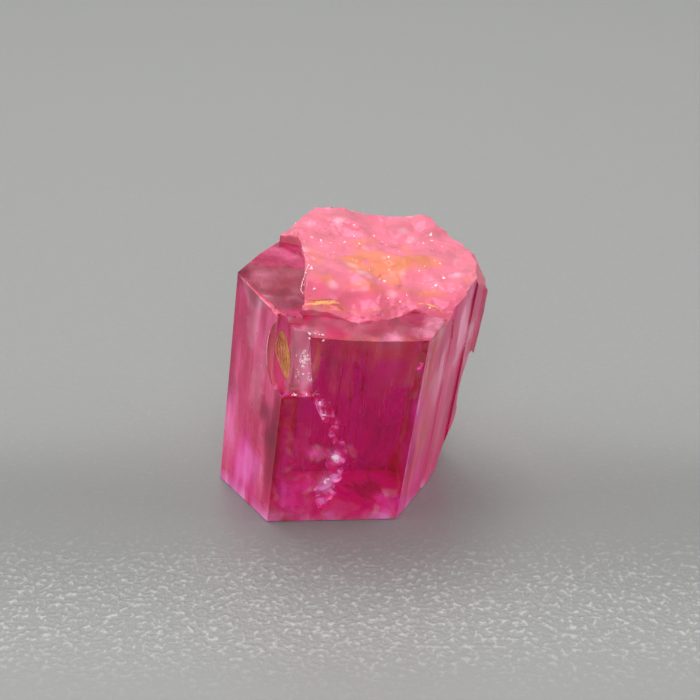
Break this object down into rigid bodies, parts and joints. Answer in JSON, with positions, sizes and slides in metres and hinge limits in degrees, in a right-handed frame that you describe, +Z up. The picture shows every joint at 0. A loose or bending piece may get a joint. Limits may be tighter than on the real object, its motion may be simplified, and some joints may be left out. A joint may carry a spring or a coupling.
{
  "type": "red beryl crystal",
  "caption": "Hexagonal red beryl crystal leaning on its flat base, with a smooth corner and front terrace, a rough broken top and a ridged, broken side.",
  "frame": {"origin": "middle of the bounding box at the level of the base", "axes": "+Z up, +X right and -Y towards the viewer of the broad front face"},
  "size_m": [0.005, 0.0048, 0.0049],
  "materials": {
    "red_beryl": "vitreous, see-through raspberry red, frosted and salmon pink where it is broken",
    "iron_stain": "dull orange-brown film in cracks and chips",
    "healed_fracture": "fine pale specks and glints inside the crystal"
  },
  "bodies": {
    "root": {"red_beryl_crystal": "red_beryl"}
  },
  "joints": []
}
